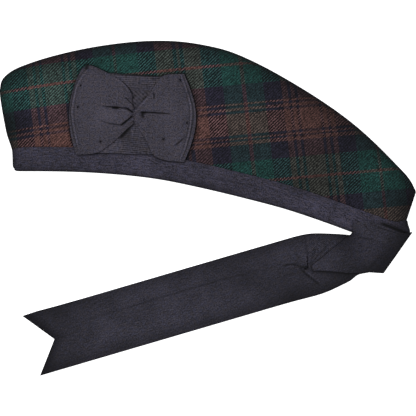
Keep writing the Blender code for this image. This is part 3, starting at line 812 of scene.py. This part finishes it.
RIGHT_TONES = (
    Tone((143.2, 114.8), 1.0, -0.95, 0.9),
    Tone((143.3, 116.6), 1.0, -0.90, 0.8),
    Tone((144.0, 118.0), 0.8, -0.45, 0.3),
    Tone((180.4, 81.2), 1.05, -0.80, 0.4),
    Tone((164.0, 139.8), 1.45, -0.65, 0.4),
    Tone((187.2, 124.0), 0.90, -0.45, 0.2),
    Tone((135.8, 119.5), 2.2, 0.30),
    Tone((148, 104), 5.0, 0.14),
    Tone((170, 98), 10.0, 0.10),
    Tone((158, 124), 7.0, -0.08),
    Tone((136, 122), 8.0, 0.22),
)
LEFT_NUDGES = (
    Nudge((85.0, 63.2), (1.8, 2.6), 4.0),
    Nudge((68.6, 111.0), (1.1, 0.0), 16.0),
    Nudge((134.4, 113.5), (1.2, 0.6), 2.6),
)
RIGHT_NUDGES = (
    Nudge((135.2, 116.0), (-2.6, 0.6), 3.4),
)

# Tails: gathers round the pinch, the folded root and the crease along the upper ribbon, with painted shade
# in the creases and gathers, painted highlights along some folds, and broad patches of painted light and
# shade
ROOT_FOLDS = (
    Fold([(318, 266), (335, 257), (352, 249)], 1.2, (0.2, 0.0), -0.10, 0.2),
    Fold([(353, 236.2), (365, 238.2), (378, 240.6)], 0.42, (0.2, 0.0), 0.50, 0.2, 0.1, 2),
    Fold([(361, 224), (364.2, 226), (366.8, 229)], 0.45, (0.0, 0.2), 0.60, 0.2),
    Fold([(351.5, 226), (351.2, 230), (352.5, 236)], 0.45, (0.2, 0.4), 0.55, 0.1),
    Fold([(366, 223.6), (384, 229.4), (406, 236.6)], 0.60, (0.2, 0.3), 0.35, 0.2, 0.2, 2),
    Fold([(383, 253), (374, 262), (367, 271)], 0.70, (0.0, 0.3), 0.35, 0.2, 0.2, 2),
    Fold([(313, 269.6), (330, 271.2), (350, 272.6)], 0.50, (0.6, 0.0), 0.40, 0.2),
)
ROOT_TONES = (
    Tone((380, 268), 10.0, -0.50),
    Tone((404, 240), 10.0, -0.40),
    Tone((392, 238), 12.0, -0.16),
    Tone((352, 230), 9.0, 0.60),
    Tone((362, 245), 10.0, 0.15),
    Tone((350, 262), 14.0, -0.20),
    Tone((336, 270), 14.0, -0.16),
)
TAIL_FOLDS = (
    Fold([(304.5, 269), (299.5, 265.8), (290.5, 264.1), (279, 266.3)], 0.55, (0.9, 0.0), 0.90, 0.5, 0.4, 3),
    Fold([(279, 266.3), (240, 274.5), (180, 291.5), (68, 325)], 0.55, (0.3, 0.3), 0.48, 0.3, 0.2, 5),
    Fold([(297, 262.4), (303, 271.2), (312, 278.6), (323.5, 287.5)], 0.75, (0.0, 0.0), 0.95, 0.6, 0.3, 3),
    Fold([(301.8, 265.8), (306.5, 272), (315.4, 279), (325.5, 285.8)], 0.55, (0.0, 0.0),
         -0.75, 0.0, 0.3, 2),
    Fold([(304, 236), (305.6, 246), (306.8, 256)], 0.70, (0.2, 0.6), 0.30, 0.3, 0.3, 3),
    Fold([(309, 263.5), (312.5, 254), (317, 244)], 0.60, (0.8, 0.0), 0.45, 0.3),
    Fold([(311, 263), (319, 253.5), (330, 243)], 0.60, (0.8, 0.0), 0.50, 0.3),
    Fold([(313, 261.5), (325, 251), (341, 238)], 0.45, (0.6, 0.2), -0.40, 0.2),
    Fold([(303, 264), (297, 255), (292, 244)], 0.90, (0.6, 0.0), 0.25, 0.2),
    Fold([(302, 270), (290, 274), (276, 281)], 0.90, (0.6, 0.0), 0.25, 0.2),
    Fold([(60, 350), (120, 333), (200, 310), (296, 284)], 6.5, (0.3, 0.3), -0.20),
    Fold([(312, 271), (335, 274), (362, 277)], 2.4, (0.4, 0.4), 0.45),
)
TAIL_TONES = (
    Tone((306.3, 267.3), 2.0, -0.95, 0.8),
    Tone((306, 270), 16.0, -0.12),
    Tone((250, 285), 26.0, -0.25),
    Tone((335, 285), 16.0, -0.35),
    Tone((292, 295), 13.0, -0.42),
    Tone((114, 346), 12.0, -0.14),
    Tone((322, 242), 16.0, 0.12),
    Tone((57.5, 336.4), 1.8, -0.60, 0.2),
    Tone((42, 316), 16.0, -0.38),
    Tone((70, 308), 17.0, -0.30),
    Tone((44, 370), 18.0, -0.45),
    Tone((55, 368), 13.0, -0.30),
    Tone((80, 354), 9.0, -0.14),
    Tone((248, 266), 14.0, -0.12),
    Tone((296, 250), 12.0, 0.12),
    Tone((300, 290), 10.0, -0.20),
)
TAIL_FACETS = (
    Facet([(308, 263), (304, 228), (362, 228), (353, 234), (313, 265)], 50, 1.25),
)
TAIL_ANGLE = math.radians(16.35)

# Band: its line along the brim, its folds, its streaks of painted highlight and painted shade along it, its
# patches of painted light and shade, and the painted shadow in the hollow under the folded root
BRIM_LINE = [
    (7, 171.0), (64, 171.0), (96, 173.0), (128, 175.5), (160, 179.5), (192, 186.0), (224, 193.0),
    (256, 201.0), (288, 210.0), (320, 221.0), (350, 232.0), (380, 244.0), (412, 257.0),
]
BAND_FOLDS = (
    Fold([(375, 221.6), (384, 224.6), (394, 228.6), (404, 232.5)], 1.35, (0.0, 1.0), 1.00, 0.4),
    Fold([(196, 174.6), (214, 178), (238, 183.4), (268, 191)], 0.95, (0.3, 0.3), 0.28),
)
BAND_PAINTED_LIGHT = (
    Fold([(190, 182), (214, 187), (240, 193)], 2.6, (0.3, 0.5), 0.36),
    Fold([(192, 168.6), (230, 175.7), (264, 184)], 2.4, (0.3, 0.3), -0.14),
    Fold([(14, 167.4), (45, 167.8), (84, 169)], 2.8, (0.3, 0.3), 0.16),
    Fold([(16, 153), (45, 153.5), (78, 155)], 3.2, (0.3, 0.3), -0.08),
    Fold([(262, 180.4), (300, 191.8), (340, 205)], 1.5, (0.3, 0.3), 0.22),
    Fold([(270, 194), (300, 203.5), (340, 218)], 3.6, (0.3, 0.3), -0.10),
)
BAND_TONES = (
    Tone((404, 226), 7.0, -0.55),
    Tone((392, 226), 9.0, -0.20),
    Tone((345, 220), 17.0, 0.32),
    Tone((316, 211), 11.0, 0.14),
    Tone((266, 202), 12.0, 0.15),
    Tone((138, 168), 18.0, 0.22),
)
BAND_NUDGES = (
    Nudge((404.6, 224.6), (1.2, -5.2), 5.0),
    Nudge((408.5, 230.5), (2.4, 0.6), 3.4),
    Nudge((11.0, 149.0), (1.3, 1.2), 8.0),
)
TAIL_NUDGES = (
    Nudge((318, 234), (0.0, -1.0), 20.0),
    Nudge((322, 293), (0.7, 1.0), 16.0),
    Nudge((359, 276), (-1.5, -1.4), 5.0),
    Nudge((40, 311), (-0.5, -0.7), 12.0),
)
FRONT_CORNER = (12.9, 171.3)
CORNER_RADIUS = 6.0

# Cap: painted light, lighter in front, and painted shade, darker towards the back
CAP_TONES = (
    Tone((46, 100), 17.0, 0.48),
    Tone((20, 78), 12.0, -0.15),
    Tone((11, 124), 14.0, -0.50),
    Tone((5, 105), 9.0, 0.60),
    Tone((125, 64), 16.0, 0.18),
    Tone((204, 120), 11.0, 0.14),
    Tone((212, 80), 16.0, 0.10),
    Tone((250, 121), 14.0, 0.10),
    Tone((8, 122), 7.0, -0.15),
    Tone((212, 157), 14.0, -0.14),
    Tone((236, 156), 22.0, -0.14),
    Tone((305, 98), 36.0, -0.28),
    Tone((305, 176), 22.0, -0.24),
    Tone((336, 186), 30.0, -0.26),
    Tone((350, 138), 26.0, -0.28),
    Tone((378, 176), 18.0, 0.22),
    Tone((390, 200), 12.0, -0.18),
    Tone((408, 205), 20.0, -0.50),
)
CAP_NUDGES = (
    Nudge((345, 118), (0.4, -0.5), 60.0),
    Nudge((8, 137), (-0.8, 0.0), 9.0),
)

# Tacking stitches of the cockade and of the tails' pinch
COCKADE_STITCHES = (
    Stitch((79.0, 107.8), 80), Stitch((81.8, 86.6), 60), Stitch((101.6, 142.4), 20),
    Stitch((180.4, 81.2), 120), Stitch((164.0, 139.8), 25), Stitch((187.2, 124.0), 90),
)
TAIL_STITCHES = (
    Stitch((306.8, 257.5), 88), Stitch((306.9, 260.6), 88), Stitch((307.1, 263.7), 88),
    Stitch((307.3, 266.8), 85), Stitch((304.6, 268.2), 150),
)

# How each piece is smoothed, the cloth that it was cut from, and how much painted shade darkens its open
# edges
TARTAN_EDGE = Edge(0.70, 1.2, 0.50, 8.7)
BAND_EDGE = Edge(0.55, 1.2, 0.22, 3.0)
TAIL_EDGE = Edge(0.50, 1.2, 0.45, 7.0)
ROOT_EDGE = Edge(0.70, 1.2, 0.62, 9.0)
DRESS = (
    Dress("side_left", "tartan", 3, 0.3, (0.160, 0.290), 0.0264, "laid", ["side_right"], TARTAN_EDGE),
    Dress("side_right", "tartan", 2, 0.3, (0.160, 0.290), 0.0260, "laid", [], TARTAN_EDGE),
    Dress("crown_gusset", "tartan", 2, 0.3, (0.070, 0.300), 0.0130, "folded", ["side_right"], TARTAN_EDGE),
    Dress("brim_band", "band_ribbon", 3, 0.2, (0.0295, 0.570), None, "folded", ["side_right"], BAND_EDGE),
    Dress("cockade_back", "cockade_ribbon", 4, 0.8, (0.058, 0.064), None, "laid", ["side_left"], BAND_EDGE),
    Dress("cockade_wing_left", "cockade_ribbon", 4, 0.8, (0.047, 0.066), 0.0025, "gathered",
          ["cockade_back"], BAND_EDGE),
    Dress("cockade_wing_right", "cockade_ribbon", 4, 0.8, (0.045, 0.064), 0.0022, "gathered",
          ["cockade_back"], BAND_EDGE),
    Dress("tail_upper", "tail_ribbon", 4, 1.0, (0.045, 0.254), 0.0106, "laid", ["tail_lower"], TAIL_EDGE),
    Dress("tail_lower", "tail_ribbon", 3, 1.0, (0.045, 0.254), 0.0106, "laid", [], TAIL_EDGE),
    Dress("tail_fold", "tail_ribbon", 3, 0.8, (0.045, 0.073), 0.0019, "folded",
          ["tail_upper", "brim_band"], ROOT_EDGE),
)

# Which pieces cast a painted shadow line on the piece that they end on
CONTACTS = {
    "side_left": (
        Contact("cockade_back", 0.95, 1.0), Contact("cockade_wing_left", 1.0, 0.9),
        Contact("cockade_wing_left", 0.3, 2.2), Contact("cockade_wing_right", 1.0, 1.05),
        Contact("cockade_wing_right", 0.32, 2.6), Contact("brim_band", 0.45, 0.7),
    ),
    "brim_band": (
        Contact("cockade_back", 0.6, 0.7), Contact("cockade_wing_left", 0.6, 0.8),
        Contact("cockade_wing_right", 0.7, 0.9), Contact("tail_fold", 0.4, 0.8),
    ),
    "cockade_back": (Contact("cockade_wing_left", 0.25, 0.5), Contact("cockade_wing_right", 0.45, 0.5)),
    "tail_upper": (Contact("tail_fold", 0.85, 0.9),),
}
PRESSED = {
    "side_left": ((), (), CAP_TONES),
    "side_right": ((), (), CAP_TONES),
    "brim_band": (BAND_FOLDS + BAND_PAINTED_LIGHT, (), BAND_TONES),
    "cockade_back": (BASE_FOLDS, (), BASE_TONES),
    "cockade_wing_left": (LEFT_FOLDS, LEFT_LEAVES, LEFT_TONES),
    "cockade_wing_right": (RIGHT_FOLDS, RIGHT_LEAVES, RIGHT_TONES),
    "tail_upper": (TAIL_FOLDS, (), TAIL_TONES),
    "tail_fold": (ROOT_FOLDS, (), ROOT_TONES),
}


def cover_of_nodes():
    """Search tree of every CAD node together."""
    points, faces = [], []
    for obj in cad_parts.values():
        first = len(points)
        points += [v.co for v in obj.data.vertices]
        faces += [[first + k for k in face.vertices] for face in obj.data.polygons]
    return BVHTree.FromPolygons(points, faces)


def shape_outlines(made):
    """Ease the outlines of the pieces to the real cap's."""
    for node in PANELS:
        nudge(made[node], CAP_NUDGES)
    for node in TAILS:
        nudge(made[node], TAIL_NUDGES)
    nudge(made["brim_band"], BAND_NUDGES)
    round_corner(made["brim_band"], FRONT_CORNER, (1, -1), CORNER_RADIUS)
    nudge(made["cockade_wing_left"], LEFT_NUDGES)
    nudge(made["cockade_wing_right"], RIGHT_NUDGES)


def refine_relief(made, rims):
    """Halve the faces where pieces end on others and along folds, but not on the fine upper tail."""
    for node, contacts in CONTACTS.items():
        if node != "tail_upper":
            refine(made[node], np.concatenate([rims[contact.above] for contact in contacts]), NEAR_RIMS)
    for node, folds in (("cockade_back", BASE_FOLDS), ("brim_band", BAND_FOLDS)):
        refine(made[node], np.concatenate([curve(fold.line) for fold in folds]), NEAR_FOLDS)


def lay_maps(made):
    """Lay the sett over the panels, and the ribs over the ribbons."""
    for node in PANELS:
        map_tartan(made[node])
    map_along(made["brim_band"], BRIM_LINE)
    map_ribbon(made["cockade_back"], 0.0, BASE_FACETS)
    for node in WINGS:
        map_ribbon(made[node], 0.0)
    map_ribbon(made["tail_upper"], TAIL_ANGLE, TAIL_FACETS)
    for node in ("tail_lower", "tail_fold"):
        map_ribbon(made[node], TAIL_ANGLE)


def make_pieces():
    """Dress every CAD node in its cloth."""
    tartan, ribbons = cloth_materials()
    made = {}
    for dress in DRESS:
        made[dress.node] = cloth_copy(dress.node, dress.node + "_cloth", dress.levels, dress.crease)
    shape_outlines(made)
    rims = {node: rim_of(obj)[0] for node, obj in made.items()}
    refine_relief(made, rims)
    lay_maps(made)
    cover = cover_of_nodes()
    for dress in DRESS:
        obj = made[dress.node]
        light = edge_light(obj, dress.edge, cover)
        light = light * contact_light(obj, CONTACTS.get(dress.node, ()), rims)
        light = light * press(obj, *PRESSED.get(dress.node, ()))
        keep_value(obj, "light", light)
        obj.data.materials.append(ribbons.get(dress.node, ribbons.get(dress.slot, tartan)))
        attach(obj, "root")
        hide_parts(dress.node)
    return made


def thread_stitch():
    """One stitch: a short thread that dips into the cloth at both ends."""
    bpy.ops.mesh.primitive_cylinder_add(
        vertices=STITCH_SIDES, radius=STITCH_RADIUS, depth=STITCH_LENGTH, rotation=(0.0, math.pi / 2.0, 0.0)
    )
    obj = bpy.context.object
    bpy.ops.object.transform_apply(location=False, rotation=True, scale=False)
    bpy.ops.object.mode_set(mode="EDIT")
    for share in STITCH_CUTS:
        bpy.ops.mesh.select_all(action="SELECT")
        bpy.ops.mesh.bisect(plane_co=(share * STITCH_LENGTH, 0.0, 0.0), plane_no=(1.0, 0.0, 0.0))
    for reach, sink in STITCH_DIPS:
        mesh = bmesh.from_edit_mesh(obj.data)
        for vertex in mesh.verts:
            vertex.select = abs(vertex.co.x) > reach * STITCH_LENGTH
        mesh.select_flush(True)
        bmesh.update_edit_mesh(obj.data)
        bpy.ops.transform.translate(value=(0.0, 0.0, -sink * STITCH_RADIUS))
    bpy.ops.object.mode_set(mode="OBJECT")
    smooth_form(obj, 1)
    return obj


def sew(name, stitches, cloths, material):
    """A run of stitches on top of some cloth pieces, as one piece."""
    first = thread_stitch()
    copies = []
    for stitch in stitches:
        x, y = at(*stitch.place)
        hits = [cloth.ray_cast(Vector((x, y, 1.0)), DOWN) for cloth in cloths]
        height = max(hit[1].z for hit in hits if hit[0])
        copy = first.copy()
        copy.data = first.data.copy()
        copy.location = (x, y, height + STITCH_RADIUS * STITCH_LIFT)
        copy.rotation_euler = (0.0, 0.0, math.radians(stitch.angle))
        bpy.context.scene.collection.objects.link(copy)
        copies.append(copy)
    bpy.data.objects.remove(first)
    select_only(copies)
    bpy.ops.object.join()
    obj = bpy.context.object
    bpy.ops.object.transform_apply()
    obj.name = name
    obj.data.materials.append(material)
    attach(obj, "root")
    return obj


def make_stage():
    """Pale floor, soft light and the camera above."""
    bpy.ops.mesh.primitive_plane_add(size=FLOOR_SIZE, location=(0.0, 0.0, -FLOOR_GAP))
    floor = bpy.context.object
    floor.name = "floor"
    material, _, shader = new_material("pale_floor", 0.0)
    shader.inputs["Base Color"].default_value = FLOOR_COLOUR
    shader.inputs["Roughness"].default_value = 1.0
    shader.inputs["Emission Color"].default_value = WHITE
    shader.inputs["Emission Strength"].default_value = 1.0
    floor.data.materials.append(material)
    floor.visible_diffuse = False
    floor.visible_glossy = False

    world = bpy.data.worlds.new("studio")
    world.use_nodes = True
    sky = world.node_tree.nodes["Background"]
    sky.inputs["Color"].default_value = SKY_COLOUR
    sky.inputs["Strength"].default_value = SKY_STRENGTH
    bpy.context.scene.world = world
    for lamp in LAMPS:
        light = bpy.data.lights.new(lamp.name, "AREA")
        light.shape = "SQUARE"
        light.size = lamp.size
        light.energy = lamp.power
        obj = bpy.data.objects.new(lamp.name, light)
        obj.location = lamp.place
        obj.rotation_mode = "QUATERNION"
        obj.rotation_quaternion = (-Vector(lamp.place)).to_track_quat("-Z", "Y")
        bpy.context.scene.collection.objects.link(obj)

    camera = bpy.data.objects.new("camera", bpy.data.cameras.new("camera"))
    width = SQUARES_SHOWN * SQUARE
    camera.data.lens = camera.data.sensor_width * (CAMERA_HEIGHT - LOOK_AT_HEIGHT) / width
    camera.location = (*at(CHART_SQUARES / 2.0, CHART_SQUARES / 2.0), CAMERA_HEIGHT)
    camera.data.clip_end = CAMERA_FAR
    bpy.context.scene.collection.objects.link(camera)
    bpy.context.scene.camera = camera
    bpy.context.scene.view_settings.view_transform = "Standard"


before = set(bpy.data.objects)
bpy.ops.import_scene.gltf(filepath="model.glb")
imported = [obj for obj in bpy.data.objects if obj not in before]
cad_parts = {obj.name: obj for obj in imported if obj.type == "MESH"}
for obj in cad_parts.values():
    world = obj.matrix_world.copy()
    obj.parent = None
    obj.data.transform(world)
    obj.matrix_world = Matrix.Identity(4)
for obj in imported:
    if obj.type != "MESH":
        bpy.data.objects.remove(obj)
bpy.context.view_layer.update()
make_stage()
pieces = make_pieces()
bpy.context.view_layer.update()
thread = thread_material()
wings = [pieces[node] for node in WINGS]
sew("cockade_stitches", COCKADE_STITCHES, wings, thread)
sew("tail_stitches", TAIL_STITCHES, [pieces["tail_upper"], pieces["tail_fold"]], thread)
bpy.context.view_layer.update()
